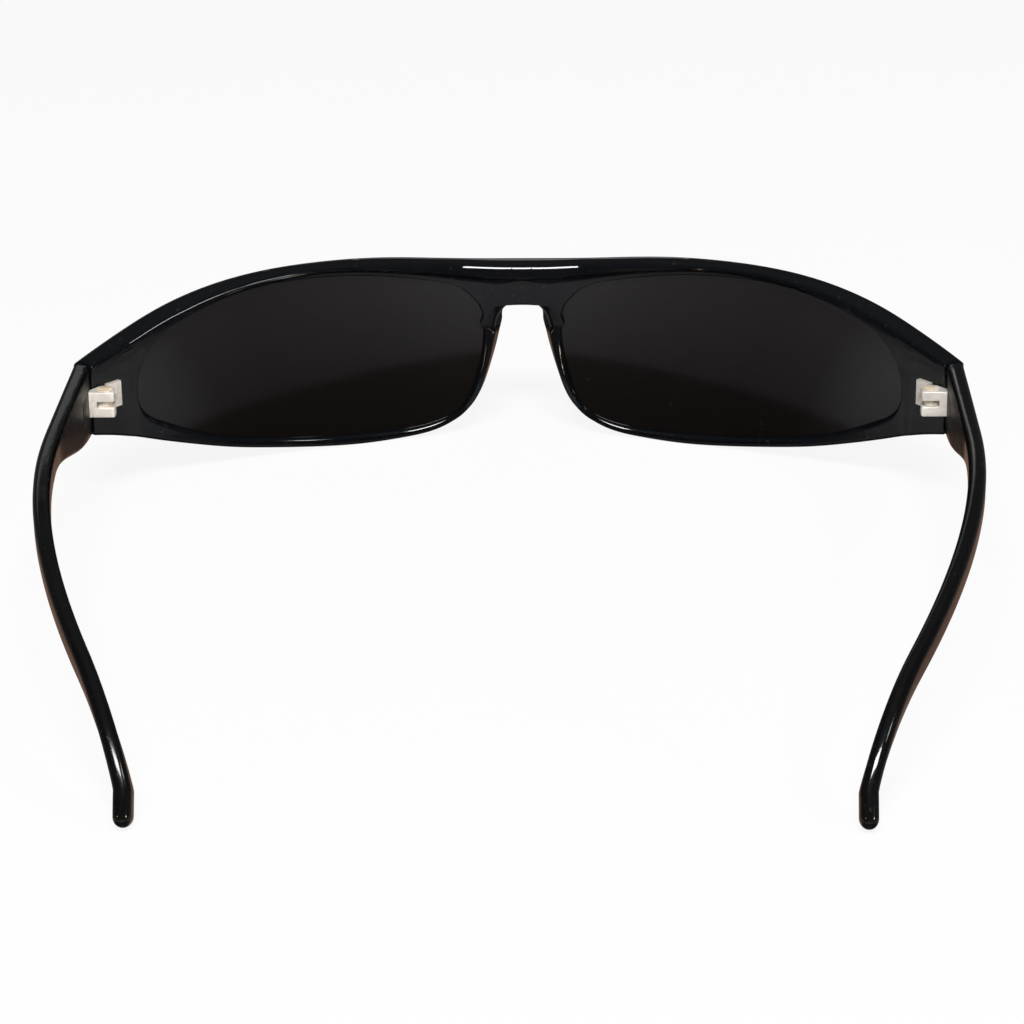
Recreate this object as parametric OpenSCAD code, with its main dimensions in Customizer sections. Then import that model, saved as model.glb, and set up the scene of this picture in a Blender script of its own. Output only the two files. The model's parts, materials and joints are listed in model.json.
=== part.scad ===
// Wraparound sunglasses: a full-rim front holding two curved lenses, and two temples that fold on
// metal barrel hinges. Millimetres. +Z is up, the glasses look along +Y and stand as they do on a
// table, on the bottoms of the rims and on the tips of the temples. Left is -X, the wearer's left.

/* [Front] */
// Radius of the ball that the front and both lenses are curved to
curve_radius = 90; // [84:1:110]
// Half of the front, along that ball from the middle of the nose to the end beside the temple
half_front = 82.5; // [80:0.5:86]
// Thickness of the rims from front to back
rim_thickness = 3.6; // [3.4:0.1:4.4]
// Depth of the brow at the middle, from front to back
brow_depth = 4.9; // [4.4:0.1:5.6]
// Thickness of the ends that carry the hinges
end_thickness = 4.2; // [4:0.1:4.8]
// How far the brow falls from its highest point to the end
brow_fall = 8.15; // [7:0.1:9.2]
// Height of the ends beside the temples
end_height = 11.95; // [10.5:0.1:13]
// Height of the ridge that stands out behind the brow, at the middle
ridge_height = 3.1; // [2.4:0.1:3.8]
// Height of the rim above the lens at the highest point of the brow
rim_above = 2.05; // [1.7:0.05:3]
// Height of the rim below the lens at its lowest point
rim_below = 1.65; // [1.3:0.05:2.4]
// Height of the bridge between the lenses at the middle
bridge_height = 7.95; // [6:0.1:9]
// How far the nose pads stand out behind the rim
pad_rise = 1.3; // [0.5:0.1:2]
// How much closer together the front edges beside the nose are than the back edges, on each side
nose_splay = 0.7; // [0:0.1:1.4]

/* [Lenses] */
// Width of a lens opening along the ball
lens_width = 64.5; // [60:0.5:65]
// Height of a lens opening along the ball
lens_height = 28.8; // [26:0.2:31]
// Gap between the two lens openings at the nose
lens_gap = 13.7; // [12.5:0.1:17]
// Thickness of a lens
lens_thickness = 1.8; // [1.6:0.1:2.2]
// Depth of the groove that holds the lens
groove_depth = 0.8; // [0.6:0.05:1]
// Play of the lens in its groove, on each side
lens_play = 0.06; // [0.04:0.01:0.12]

/* [Temples] */
// Length of a temple from its hinge end to its tip, measured straight back
temple_length = 116; // [100:1:125]
// Thickness of a temple behind the hinge
temple_thickness = 2.7; // [2.4:0.1:3.4]
// Height of a temple along its slender part
temple_height = 4.4; // [3.8:0.1:6]
// Thickness of a temple near the tip
tip_thickness = 2.5; // [2.2:0.1:3]
// Radius of the long sweep that brings the temple in behind the ear
sweep_radius = 169; // [160:1:260]
// Gap between the end of the front and the end of the temple when open
seam_gap = 0.3; // [0.25:0.05:0.5]

/* [Hinges] */
// Height of a hinge
hinge_height = 4.2; // [4:0.1:6]
// Diameter of the lugs round the screw, on the temple leaf
barrel_diameter = 3.4; // [3.2:0.1:3.8]
// Diameter of the middle lug round the screw, on the front leaf
middle_diameter = 2.6; // [2.4:0.1:3.2]
// Thickness of the leaves
leaf_thickness = 0.8; // [0.6:0.1:0.9]
// Diameter of the screw
screw_diameter = 1.4; // [1.2:0.1:1.6]
// Diameter of the head of the screw
head_diameter = 2.4; // [2.2:0.1:2.6]
// Play of the screw and of the lugs, on each side
hinge_play = 0.04; // [0.03:0.01:0.08]

/* [Hidden] */

gloss_black = [0.045, 0.045, 0.05];
lens_smoke = [0.13, 0.125, 0.13];
nickel = [0.78, 0.77, 0.74];

// Depths below the front face, where the groove of the lens begins and ends
groove_front = 0.9;
groove_back = groove_front + lens_thickness + 2 * lens_play;
// Roundings of the outside edges of the front
front_round = 1.2;
back_round = 0.55;
end_round = 0.25;
lip_round = 0.3;
lip_below = 0.95;

// Brow line: part of the way from the nose to the end, and part of the fall below its peak
brow_shape = [[0, 0.215], [0.09, 0.202], [0.175, 0.153], [0.26, 0.08], [0.345, 0.025], [0.43, 0],
    [0.52, 0.002], [0.61, 0.05], [0.7, 0.166], [0.795, 0.374], [0.89, 0.663], [1, 1]];

// Heights along the ball. The brow peaks above the lens and the rim is lowest below it.
lens_middle_v = -0.7;
brow_peak = lens_middle_v + lens_height / 2 + rim_above;
rim_low = lens_middle_v - lens_height / 2 - rim_below;
notch_top = brow_peak - brow_shape[0][1] * brow_fall - bridge_height;
end_top = brow_peak - brow_fall;
end_low = end_top - end_height;
// Height of the middle of the ball over the table, so that the lowest rim touches it
ball_z = -curve_radius * sin(rim_low / curve_radius * 180 / PI);

function mix(a, b, t) = a + (b - a) * t;
function clamp(t) = min(1, max(0, t));
function smooth(t) = let(c = clamp(t)) c * c * (3 - 2 * c);
function unit(a) = a / norm(a);

// Smooth curve through points, left out at its two guide points. Steps is the count per span.
function blend(p, q, r, w, t) = 0.5 * (2 * q + (r - p) * t + (2 * p - 5 * q + 4 * r - w) * t * t
    + (3 * q - p - 3 * r + w) * t * t * t);
function open_curve(p, steps) = [for (i = [1 : len(p) - 3]) for (k = [0 : steps - 1])
    blend(p[i - 1], p[i], p[i + 1], p[i + 2], k / steps)];
function closed_curve(p, steps) = let(n = len(p)) [for (i = [0 : n - 1]) for (k = [0 : steps - 1])
    blend(p[(i + n - 1) % n], p[i], p[(i + 1) % n], p[(i + 2) % n], k / steps)];

// A place on the ball, s along it from the nose, v up it, d level and straight back into it
function ball(s, v, d) = let(a = s / curve_radius * 180 / PI, e = v / curve_radius * 180 / PI,
    r = curve_radius * cos(e) - d)
    [r * sin(a), r * cos(a) - curve_radius, ball_z + curve_radius * sin(e)];

// Outline of the lens opening, in parts of its width and height from its middle
opening_shape = [[-0.500, 0.076], [-0.494, 0.212], [-0.446, 0.344], [-0.343, 0.417], [-0.196, 0.469],
    [-0.018, 0.500], [0.153, 0.490], [0.308, 0.427], [0.438, 0.309], [0.500, 0.108],
    [0.491, -0.080], [0.416, -0.205], [0.292, -0.333], [0.137, -0.427], [-0.033, -0.483],
    [-0.204, -0.500], [-0.351, -0.472], [-0.443, -0.368], [-0.478, -0.205], [-0.495, -0.052]];
lens_middle_s = (lens_gap + lens_width) / 2;
opening = closed_curve([for (p = opening_shape)
    [lens_middle_s + p[0] * lens_width, lens_middle_v + p[1] * lens_height]], 5);

brow_points = [for (p = brow_shape) [p[0] * half_front, brow_peak - p[1] * brow_fall]];
brow_last = brow_points[len(brow_points) - 1];
brow_line = open_curve(concat([[-brow_points[1][0], brow_points[1][1]]], brow_points,
    [2 * brow_last - brow_points[len(brow_points) - 2]]), 2);

// Lower line from the end to beside the nose: part of the way, and part of its rise to the end
low_shape = [[1, 1], [0.92, 0.847], [0.83, 0.629], [0.74, 0.427], [0.65, 0.258], [0.55, 0.129],
    [0.45, 0.04], [0.35, 0], [0.26, 0.028], [0.19, 0.105], [0.142, 0.25]];
// Side of the nose upward: part of the way to the lens opening, and part of the notch's height
nose_shape = [[1.336, 0.235], [1.08, 0.375], [0.876, 0.555], [0.715, 0.735], [0.635, 0.842],
    [0.54, 0.925], [0.365, 0.984]];
low_points = concat(
    [for (p = low_shape) [p[0] * half_front, mix(rim_low, end_low, p[1])]],
    [for (p = nose_shape) [p[0] * lens_gap / 2, mix(rim_low, notch_top, p[1])]],
    [[0, notch_top]]);
nose_corner = low_points[len(low_points) - 2];
low_line = open_curve(concat([2 * low_points[0] - low_points[1]], low_points,
    [[-nose_corner[0], nose_corner[1]]]), 2);

end_steps = 4;

// Brow ridge behind: part of the way along the front, and part of its height and of its depth
ridge_tall = [[0, 1], [0.182, 0.71], [0.424, 0.32], [0.667, 0.52], [0.8, 0.84], [0.945, 0.42],
    [1.1, 0.26]];
ridge_deep = [[0, 1], [0.2, 0.98], [0.44, 0.84], [0.73, 0.98], [0.87, 0.98],
    [1, end_thickness / brow_depth], [1.1, end_thickness / brow_depth]];
ridge_blend = 0.5;
ridge_lean = 0.36;
function ridge_foot(s) = lookup(s, brow_line) - ridge_height * lookup(s / half_front, ridge_tall);

// Depth of the back face at a place, with the ends, the brow ridge and the nose pads. The ridge
// leans forward above its foot.
lens_end_s = lens_gap / 2 + lens_width;
pad_middle = [lens_gap * 0.54, mix(rim_low, notch_top, 0.48)];
pad_width = 5.5;
pad_height = 9;
end_slope = 4;
function back_depth(s, v) = let(
    plain = mix(rim_thickness, end_thickness, smooth((s - lens_end_s) / end_slope)),
    above = v - ridge_foot(s),
    ridge = brow_depth * lookup(s / half_front, ridge_deep) - ridge_lean * max(0, above),
    pad = smooth(1 - norm([(s - pad_middle[0]) / pad_width, (v - pad_middle[1]) / pad_height])))
    mix(plain, max(plain, ridge), smooth((above + ridge_blend) / (2 * ridge_blend))) + pad_rise * pad;

// Stations round the outside of one half: place, outward direction, front and back rounding.
// They run over the brow to the end, down the end, back below the lens, up beside the nose and
// up the middle of the bridge.
function outward(line, i) = let(
    a = line[max(0, i - 1)], b = line[min(len(line) - 1, i + 1)], t = unit(b - a)) [-t[1], t[0]];
bridge_heights = [notch_top, mix(notch_top, brow_line[0][1], 0.28),
    ridge_foot(0) - ridge_blend, ridge_foot(0) + ridge_blend];
brow_stations = [for (i = [0 : len(brow_line) - 1])
    [brow_line[i], i == 0 ? [0, 1] : outward(brow_line, i), front_round, back_round]];
end_stations = [for (i = [0 : end_steps - 1]) [[half_front, mix(end_top, end_low, i / end_steps)],
    i == 0 ? [0, 1] : [1, 0], i == 0 ? front_round : end_round, i == 0 ? back_round : end_round]];
low_stations = [for (i = [0 : len(low_line) - 1])
    [low_line[i], i == 0 ? [0, -1] : outward(low_line, i), front_round * 0.8, back_round]];
bridge_stations = [for (v = bridge_heights) v == notch_top
    ? [[0, v], [0, -1], front_round * 0.8, back_round] : [[0, v], [0, -1], 0, 0]];
outside = concat(brow_stations, end_stations, low_stations, bridge_stations);
bridge_first = len(outside) - len(bridge_stations);

// Each station reaches inward to the opening, towards a middle line across the lens
middle_line = [[lens_gap / 2 + 0.28 * lens_width, notch_top],
    [lens_gap / 2 + 0.76 * lens_width, mix(lens_middle_v, notch_top, 0.25)]];
function pole(p) = let(t = clamp((p[0] - middle_line[0][0]) / (middle_line[1][0] - middle_line[0][0])))
    mix(middle_line[0], middle_line[1], t);
function turn(a, b) = a[0] * b[1] - a[1] * b[0];
function meets(p, dir, a, b) = let(side = b - a, det = turn(dir, side))
    abs(det) < 1e-9 ? 0 : let(t = turn(a - p, side) / det, u = turn(a - p, dir) / det)
        (u >= 0 && u <= 1 && t > 0) ? t : 0;
function inner(p) = let(q = pole(p), dir = p - q, n = len(opening),
    t = max([for (i = [0 : n - 1]) meets(q, dir, opening[i], opening[(i + 1) % n])])) q + dir * t;
inside = [for (w = outside) inner(w[0])];
count = len(outside);

// Profile of the front at one station: round from the opening over the front face to the
// outside, along the back face to the opening again and through the groove of the lens
profile_size = 19;
least_step = 0.1;
function profile(i) = let(
    a = inside[i], o = outside[i][0], m = outside[i][1], r = outside[i][2], q = outside[i][3],
    w = norm(o - a), e = (o - a) / w,
    lip = mix(lip_below, lip_round, smooth((e[1] + 0.5) / 0.8)),
    splay = nose_splay * max(0, -m[0]) * smooth((notch_top - o[1]) / 2),
    depth = back_depth(o[0], o[1]), low = back_depth(a[0], a[1]),
    lip_deep = min(lip, low - groove_back - least_step),
    rise_a = a[1] - ridge_foot(a[0]), rise_o = o[1] - ridge_foot(o[0]),
    cross = (rise_a < 0 && rise_o > 0) ? w * rise_a / (rise_a - rise_o) : 0.5 * w,
    half = (rise_a < 0 && rise_o > 0) ? ridge_blend : 0.17 * w,
    u_crest = min(w - q - least_step, cross + half),
    u_foot = min(max(lip + 2 * least_step, cross - half), u_crest - least_step),
    crest = a + e * u_crest, foot = a + e * u_foot, near = a + e * lip_round, rise = a + e * lip * 0.3,
    face = o + m * splay)
    [ball(a[0], a[1], lip_round),
     ball(near[0], near[1], 0),
     ball(mix(near, face - m * r, 0.5)[0], mix(near, face - m * r, 0.5)[1], 0),
     ball((face - m * r)[0], (face - m * r)[1], 0),
     ball((face - m * r * 0.5)[0], (face - m * r * 0.5)[1], r * 0.134),
     ball((face - m * r * 0.134)[0], (face - m * r * 0.134)[1], r * 0.5),
     ball(face[0], face[1], r),
     ball(o[0], o[1], depth - q),
     ball((o - m * q * 0.293)[0], (o - m * q * 0.293)[1], depth - q * 0.293),
     ball((o - m * q)[0], (o - m * q)[1], depth),
     ball(crest[0], crest[1], back_depth(crest[0], crest[1])),
     ball(foot[0], foot[1], back_depth(foot[0], foot[1])),
     ball((a + e * lip)[0], (a + e * lip)[1], low),
     ball(rise[0], rise[1], low - lip_deep * 0.3),
     ball(a[0], a[1], low - lip_deep),
     ball(a[0], a[1], groove_back),
     ball((a + e * groove_depth)[0], (a + e * groove_depth)[1], groove_back),
     ball((a + e * groove_depth)[0], (a + e * groove_depth)[1], groove_front),
     ball(a[0], a[1], groove_front)];

// The two halves share the places in the middle plane. The bridge has no wall there.
side_from = 3;
side_to = 9;
function in_middle(i, j) = (i == 0 || i >= bridge_first) && j >= side_from && j <= side_to;
function at(half, i, j) = let(k = i % count, c = j % profile_size)
    (half == 1 && in_middle(k, c) ? 0 : half * count * profile_size) + k * profile_size + c;
function is_wall(i, j) = i >= bridge_first && j >= side_from && j < side_to;
frame_points = let(right = [for (i = [0 : count - 1]) each profile(i)])
    concat(right, [for (p = right) [-p[0], p[1], p[2]]]);
frame_faces = [for (half = [0, 1]) for (i = [0 : count - 1]) for (j = [0 : profile_size - 1])
    if (!is_wall(i, j)) each let(a = at(half, i, j), b = at(half, i + 1, j),
        c = at(half, i + 1, j + 1), d = at(half, i, j + 1))
        half == 0 ? [[a, b, c], [a, c, d]] : [[a, c, b], [a, d, c]]];

module front_frame() {
    color(gloss_black) polyhedron(points = frame_points, faces = frame_faces, convexity = 8);
}

// Lens: a shell on the same ball that reaches into the groove all round
lens_edge = [for (i = [0 : count - 1]) let(a = inside[i], e = unit(outside[i][0] - a))
    a + e * (groove_depth - lens_play)];
lens_middle = [lens_middle_s, lens_middle_v];
lens_rings = [1, 0.72, 0.4];
lens_front = groove_front + lens_play;
lens_back = lens_front + lens_thickness;
lens_half = count * len(lens_rings) + 1;
function lens_skin(d) = concat(
    [for (f = lens_rings) for (p = lens_edge) let(q = mix(lens_middle, p, f)) ball(q[0], q[1], d)],
    [ball(lens_middle[0], lens_middle[1], d)]);
function ring_at(skin, ring, i) = skin * lens_half + ring * count + i % count;
function skin_faces(skin) = let(last = len(lens_rings) - 1) [for (i = [0 : count - 1]) each concat(
    [for (k = [0 : last - 1]) each let(a = ring_at(skin, k, i), b = ring_at(skin, k, i + 1),
        c = ring_at(skin, k + 1, i + 1), d = ring_at(skin, k + 1, i)) [[a, c, b], [a, d, c]]],
    [[ring_at(skin, last, i), skin * lens_half + lens_half - 1, ring_at(skin, last, i + 1)]])];
function reversed(f) = [f[2], f[1], f[0]];
lens_faces = concat(
    skin_faces(0),
    [for (f = skin_faces(1)) reversed(f)],
    [for (i = [0 : count - 1]) each let(a = ring_at(0, 0, i), b = ring_at(0, 0, i + 1),
        c = ring_at(1, 0, i + 1), d = ring_at(1, 0, i)) [[a, b, c], [a, c, d]]]);

module lens() {
    color(lens_smoke) polyhedron(points = concat(lens_skin(lens_front), lens_skin(lens_back)),
        faces = lens_faces, convexity = 4);
}

// Hinge: the axis stands behind the end of the front, just clear of its back face
seam_angle = half_front / curve_radius * 180 / PI;
seam_in = [-sin(seam_angle), -cos(seam_angle)];
barrel_gap = 0.3;
axis_s = half_front - 1;
axis_place = ball(axis_s, 0, end_thickness + barrel_gap + barrel_diameter / 2);
axis = [axis_place[0], axis_place[1]];
hinge_v = 1.7;
hinge_z = ball_z + curve_radius * sin(hinge_v / curve_radius * 180 / PI);
hinge_low = hinge_z - hinge_height / 2;
middle_barrel = hinge_height * 0.25;
outer_barrel = (hinge_height - middle_barrel) / 2;
bore_diameter = screw_diameter + 2 * hinge_play;
head_depth = 0.6;
seat_gap = 0.06;

// Temple: outside face in line with the end of the front
temple_outer_x = ball(half_front, 0, 0.55)[0];
temple_inner_x = temple_outer_x - temple_thickness;
temple_x = temple_outer_x - temple_thickness / 2;
seam_middle = ball(half_front, 0, end_thickness / 2);
temple_start = [temple_x, seam_middle[1] + (seam_middle[0] - temple_x) / tan(seam_angle)
    * -1 - seam_gap / sin(seam_angle)];
root_height = ball(half_front, end_top, 0)[2] - ball(half_front, end_low, 0)[2];
top_z = ball(half_front, end_top, 0)[2];
sweep_start = 29;
tip_straight = 3.5;
// Slope of the centre line down towards the tip, in degrees, by the way along the temple
slope_way = [0, 0.31, 0.80, 0.97, 1];
slope_down = [0, 0, 12, 62, 66];
slope_table = [for (k = [0 : len(slope_way) - 1]) [slope_way[k], slope_down[k]]];
path_length = temple_length * 1.052;
stations_way = [0, 0.0025, 0.012, 0.034, 0.07, 0.1, 0.13, 0.16, 0.19, 0.22, 0.25, 0.28, 0.32, 0.37, 0.43,
    0.49, 0.55, 0.61, 0.66, 0.71, 0.76, 0.80, 0.83, 0.86, 0.885, 0.91, 0.93, 0.95, 0.965, 0.98,
    0.988, 0.994, 0.998, 1];
fine_steps = 200;
fine_y = [for (k = 0, y = 0; k <= fine_steps; k = k + 1,
    y = y + cos(lookup((k - 0.5) / fine_steps, slope_table)) / fine_steps) [k / fine_steps, y]];
fine_z = [for (k = 0, z = 0; k <= fine_steps; k = k + 1,
    z = z + sin(lookup((k - 0.5) / fine_steps, slope_table)) / fine_steps) [k / fine_steps, z]];

// Half height of the temple: tall at the hinge, slender along the arm, a little fuller at the tip
slender_way = 0.325;
tip_height = temple_height + 0.2;
function half_height(t) = mix(mix(root_height, temple_height, smooth(t / slender_way)), tip_height,
    smooth((t - 0.8) / 0.15)) / 2;
function half_thick(t) = mix(temple_thickness, tip_thickness, smooth((t - 0.1) / 0.7)) / 2;

// The section is an oblong with round corners, tight at the hinge and full along the arm. The first
// section lies in the plane of the seam and the next ones turn square to the arm.
corner_round = 0.95;
seam_edge = 0.3;
corner_steps = 3;
seam_turn = 0.034;
tip_round = 1.5;
function tip_scale(t) = let(q = (t - 1) * path_length / tip_round + 1)
    q <= 0 ? 1 : sqrt(max(0.0025, 1 - q * q));
function side_dir(t) = unit(mix([-seam_in[0], -seam_in[1], 0], [1, 0, 0], smooth(t / seam_turn)));
function up_dir(t) = let(down = lookup(t, slope_table)) [0, -sin(down), cos(down)];
function section(t) = let(
    inset = max(0, seam_edge - t * path_length),
    h = half_height(t) - inset,
    w = half_thick(t) / side_dir(t)[0] - inset,
    c = mix(corner_round, 0.9 * half_thick(t), smooth((t - 0.03) / 0.4)))
    [for (q = [0 : 3]) for (k = [0 : corner_steps]) let(a = 90 * q + 90 * k / corner_steps,
        sx = (q == 0 || q == 3) ? 1 : -1, sy = q < 2 ? 1 : -1)
        tip_scale(t) * [sx * (w - c) + c * cos(a), sy * (h - c) + c * sin(a)]];

// The slope down is scaled so that the lowest place of the temple touches the table
function level_z(t) = top_z - mix(half_height(t), temple_height / 2, smooth((t - 0.8) / 0.15));
function fall(t) = lookup(t, fine_z) * path_length;
function section_low(t) = min([for (p = section(t)) p[1] * up_dir(t)[2]]);
drop = min([for (t = stations_way) if (t > 0.8) (level_z(t) + section_low(t)) / fall(t)]);
function back_way(t) = lookup(t, fine_y) * path_length;
function centre_x(b) = let(past = max(0, min(b, temple_length - tip_straight) - sweep_start))
    temple_x - past * past / (2 * sweep_radius);
function centre(t) = [centre_x(back_way(t)), temple_start[1] - back_way(t), level_z(t) - fall(t) * drop];
temple_round = 4 * (corner_steps + 1);
temple_points = [for (t = stations_way) each let(c = centre(t), x = side_dir(t), z = up_dir(t))
    [for (p = section(t)) c + x * p[0] + z * p[1]]];
temple_last = (len(stations_way) - 1) * temple_round;
temple_faces = concat(
    [for (i = [0 : len(stations_way) - 2]) for (k = [0 : temple_round - 1])
        each let(a = i * temple_round + k, b = i * temple_round + (k + 1) % temple_round,
            c = b + temple_round, d = a + temple_round) [[a, c, b], [a, d, c]]],
    [[for (k = [0 : temple_round - 1]) k]],
    [[for (k = [temple_round - 1 : -1 : 0]) temple_last + k]]);

// The leaf of the hinge lies in a pocket in the inside face
plate_start = axis[1] - 0.2;
plate_length = 7.5;
plate_play = 0.06;

module temple() {
    color(gloss_black) difference() {
        polyhedron(points = temple_points, faces = temple_faces, convexity = 4);
        translate([temple_inner_x - leaf_thickness, plate_start - plate_length - plate_play,
            hinge_low - plate_play])
            cube([2 * leaf_thickness, plate_length + 2 * plate_play, hinge_height + 2 * plate_play]);
    }
}

// Leaf on the front: a plate on the back face and the middle lug
plate_width = 2.8;
plate_reach = 2.0;
plate_turn = (axis_s - plate_reach - plate_width / 2) / curve_radius * 180 / PI;
plate_place = ball(axis_s - plate_reach - plate_width / 2, hinge_v + hinge_height / 2,
    end_thickness + seat_gap);
web_width = 1.8;

module front_plate(from, to) {
    translate([plate_place[0], plate_place[1], 0]) rotate([0, 0, -plate_turn])
        translate([from, -leaf_thickness, 0]) square([to - from, leaf_thickness]);
}

module screw_hole() {
    translate([axis[0], axis[1], hinge_low - 1])
        cylinder(d = bore_diameter, h = hinge_height + 2, $fn = 48);
}

module front_leaf() {
    color(nickel) difference() {
        union() {
            translate([0, 0, hinge_low]) linear_extrude(hinge_height)
                front_plate(-plate_width / 2, plate_width / 2);
            translate([0, 0, hinge_low + outer_barrel + hinge_play])
                linear_extrude(middle_barrel - 2 * hinge_play) hull() {
                    translate(axis) circle(d = middle_diameter, $fn = 48);
                    front_plate(plate_width / 2 - web_width, plate_width / 2);
                }
        }
        screw_hole();
    }
}

// Leaf on the temple: a plate in the pocket and a block with the upper and lower lugs. The middle
// lug of the front turns in the slot between them.
slot_gap = 0.3;
block_round = 0.5;
block_root = 0.1;

module temple_leaf() {
    lug = barrel_diameter / 2;
    color(nickel) difference() {
        translate([0, 0, hinge_low]) linear_extrude(hinge_height) {
            translate([temple_inner_x - plate_play, plate_start - plate_length])
                square([leaf_thickness, plate_length]);
            hull() {
                translate(axis) circle(r = lug, $fn = 48);
                translate(axis - [lug - block_round, lug - block_round]) circle(r = block_round, $fn = 24);
                translate([temple_inner_x - plate_play - block_root, axis[1] - lug])
                    square([1.5 * block_root, plate_start - axis[1] + lug]);
            }
        }
        translate([axis[0], axis[1], hinge_low + outer_barrel]) {
            cylinder(r = lug + slot_gap, h = middle_barrel, $fn = 48);
            translate([-2 * lug, -2 * lug, 0]) cube([2 * lug, 2 * lug, middle_barrel]);
        }
        screw_hole();
        translate([axis[0], axis[1], hinge_low + hinge_height - head_depth])
            cylinder(d = head_diameter + 2 * hinge_play, h = head_depth + 1, $fn = 48);
    }
}

// Screw: slotted head sunk in the upper lug, shank down through all three
slot_width = 0.35;
slot_depth = 0.3;
shank_gap = 0.2;

module hinge_screw() {
    top = hinge_low + hinge_height;
    color(nickel) translate([axis[0], axis[1], 0]) difference() {
        union() {
            translate([0, 0, hinge_low + shank_gap])
                cylinder(d = screw_diameter, h = hinge_height - head_depth, $fn = 48);
            translate([0, 0, top - head_depth + hinge_play])
                cylinder(d = head_diameter, h = head_depth, $fn = 48);
        }
        translate([-head_diameter, -slot_width / 2, top + hinge_play - slot_depth])
            cube([2 * head_diameter, slot_width, slot_depth + 1]);
    }
}

// The origin is under the middle of the whole object, on the table
middle_y = (max([for (p = frame_points) p[1]]) + min([for (p = temple_points) p[1]])) / 2;

module right_side() {
    translate([0, -middle_y, 0]) children();
}

module left_side() {
    mirror([1, 0, 0]) right_side() children();
}

right_side() front_frame();
left_side() lens();  // lens_left
right_side() lens();  // lens_right
left_side() temple();  // temple_left
right_side() temple();  // temple_right
left_side() front_leaf();  // front_leaf_left
right_side() front_leaf();  // front_leaf_right
left_side() temple_leaf();  // temple_leaf_left
right_side() temple_leaf();  // temple_leaf_right
left_side() hinge_screw();  // hinge_screw_left
right_side() hinge_screw();  // hinge_screw_right
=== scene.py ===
import json
import math
import bmesh
import bpy
import numpy as np
from mathutils import Matrix, Vector


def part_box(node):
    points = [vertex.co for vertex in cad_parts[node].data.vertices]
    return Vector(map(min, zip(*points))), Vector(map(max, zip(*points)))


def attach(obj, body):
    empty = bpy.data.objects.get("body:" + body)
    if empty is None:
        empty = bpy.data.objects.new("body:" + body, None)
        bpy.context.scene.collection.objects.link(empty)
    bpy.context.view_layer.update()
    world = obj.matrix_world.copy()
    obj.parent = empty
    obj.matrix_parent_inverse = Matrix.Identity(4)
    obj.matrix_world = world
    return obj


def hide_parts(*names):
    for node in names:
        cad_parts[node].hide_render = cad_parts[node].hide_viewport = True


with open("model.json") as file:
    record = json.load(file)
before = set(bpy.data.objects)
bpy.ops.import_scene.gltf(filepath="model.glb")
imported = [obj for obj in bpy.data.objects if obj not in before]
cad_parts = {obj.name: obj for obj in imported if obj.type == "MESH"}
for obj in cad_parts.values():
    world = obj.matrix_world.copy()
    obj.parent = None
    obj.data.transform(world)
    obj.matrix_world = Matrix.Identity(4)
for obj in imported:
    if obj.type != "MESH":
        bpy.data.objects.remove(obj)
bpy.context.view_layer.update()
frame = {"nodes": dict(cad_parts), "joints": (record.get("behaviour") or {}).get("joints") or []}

# Front: one injection moulding of glossy black plastic, curved to the ball that the lens blanks are
# ground to. It carries the lens grooves, the brow ridge behind, the nose pads and the thick ends.
# Here it is laid out flat, ring by ring round the right opening, and wrapped on the ball.
mm = 0.001
curve_radius = 90 * mm
half_front = 82.5 * mm
rim_thickness = 3.6 * mm
brow_depth = 4.9 * mm
end_thickness = 4.2 * mm
brow_fall = 8.15 * mm
end_height = 11.95 * mm
ridge_height = 3.1 * mm
ridge_lean = 0.36
rim_above = 2.05 * mm
rim_below = 1.65 * mm
bridge_height = 7.95 * mm
pad_rise = 1.3 * mm
nose_splay = 0.7 * mm
lens_width = 64.5 * mm
lens_height = 28.8 * mm
lens_gap = 13.7 * mm
lens_lowered = 0.7 * mm
groove_depth = 0.8 * mm
groove_front = 0.9 * mm
groove_back = 2.82 * mm
front_round = 1.2 * mm
low_front_round = 0.8 * front_round
back_round = 0.6 * mm
end_round = 0.25 * mm
lip_round = 0.3 * mm
lip_below = 0.95 * mm

# The screw of the right hinge, by its place on the flat and behind the front face
hinge_axis = {joint["name"]: Vector(joint["pos_m"]) for joint in frame["joints"]}
axis_right = hinge_axis["fold_right"]
axis_from_end = 1 * mm
axis_behind = 2 * mm
axis_way = half_front - axis_from_end
axis_depth = end_thickness + axis_behind

# Outlines, as shares. The brow and the lower line: of the way out from the nose and of their fall.
# The nose: of half the gap between the lenses and of the notch's height. The opening: of the width
# and height of the lens, from its middle.
brow_shape = [(0, 0.215), (0.09, 0.202), (0.175, 0.153), (0.26, 0.08), (0.345, 0.025), (0.43, 0),
              (0.52, 0.002), (0.61, 0.05), (0.7, 0.166), (0.795, 0.374), (0.89, 0.663), (1, 1)]
low_shape = [(1, 1), (0.92, 0.847), (0.83, 0.629), (0.74, 0.427), (0.65, 0.258), (0.55, 0.129),
             (0.45, 0.04), (0.35, 0), (0.26, 0.028), (0.19, 0.105), (0.142, 0.25)]
nose_shape = [(1.336, 0.235), (1.08, 0.375), (0.876, 0.555), (0.715, 0.735), (0.635, 0.842),
              (0.54, 0.925), (0.365, 0.984)]
opening_shape = [(-0.500, 0.076), (-0.494, 0.212), (-0.446, 0.344), (-0.343, 0.417), (-0.196, 0.469),
                 (-0.018, 0.500), (0.153, 0.490), (0.308, 0.427), (0.438, 0.309), (0.500, 0.108),
                 (0.491, -0.080), (0.416, -0.205), (0.292, -0.333), (0.137, -0.427),
                 (-0.033, -0.483), (-0.204, -0.500), (-0.351, -0.472), (-0.443, -0.368),
                 (-0.478, -0.205), (-0.495, -0.052)]
lens_middle = np.array([(lens_gap + lens_width) / 2, -lens_lowered])
brow_peak = lens_middle[1] + lens_height / 2 + rim_above
rim_low = lens_middle[1] - lens_height / 2 - rim_below
notch_top = brow_peak - brow_shape[0][1] * brow_fall - bridge_height
end_top = brow_peak - brow_fall
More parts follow.
